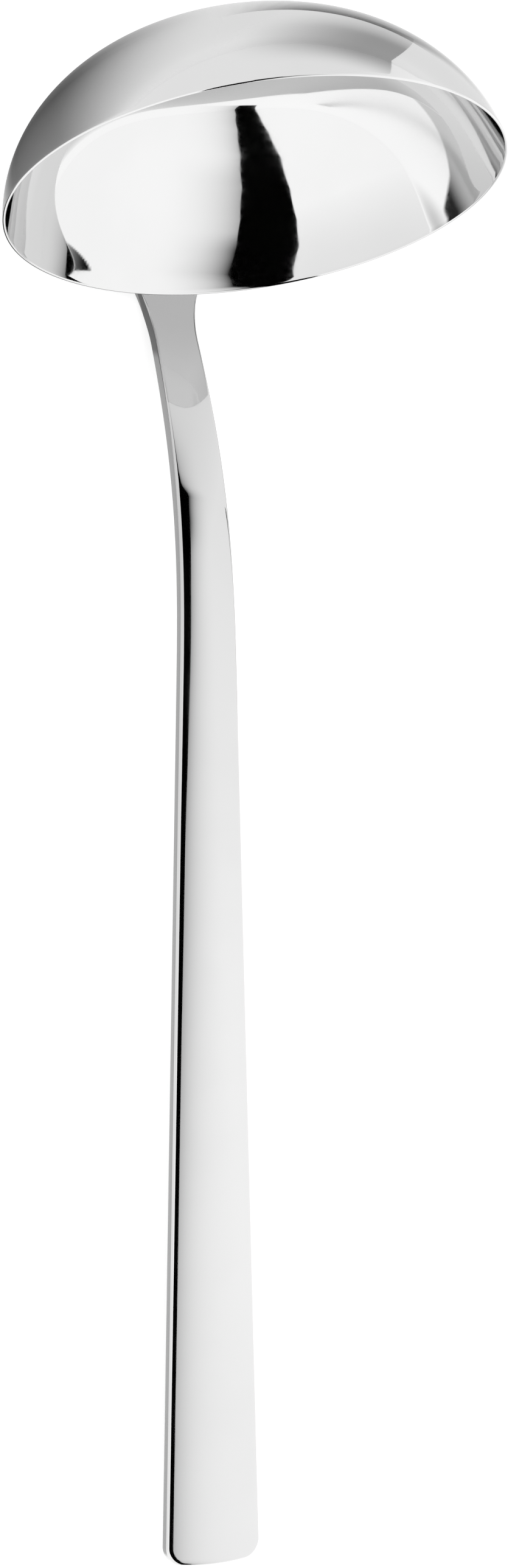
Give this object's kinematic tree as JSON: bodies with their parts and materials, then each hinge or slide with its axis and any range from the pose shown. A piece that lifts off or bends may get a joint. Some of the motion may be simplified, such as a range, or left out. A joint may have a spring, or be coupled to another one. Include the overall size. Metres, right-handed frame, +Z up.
{
  "type": "soup ladle",
  "caption": "Polished steel soup ladle: oval pressed bowl with a rounded rim, and a bent, tapering strap handle whose flared foot is welded to the bowl's outside.",
  "frame": {"origin": "centre of the ladle's footprint on the table that it lies on, at the table's height", "axes": "+Z up, +Y from the handle's end to the bowl, X across; X = 0 is the plane of symmetry"},
  "size_m": [0.1008, 0.3046, 0.0848],
  "materials": {
    "bowl_steel": "mirror-polished stainless steel",
    "handle_steel": "polished stainless steel",
    "weld_steel": "dressed and polished weld metal"
  },
  "bodies": {
    "root": {"bowl": "bowl_steel", "handle": "handle_steel", "foot_weld": "weld_steel"}
  },
  "joints": []
}
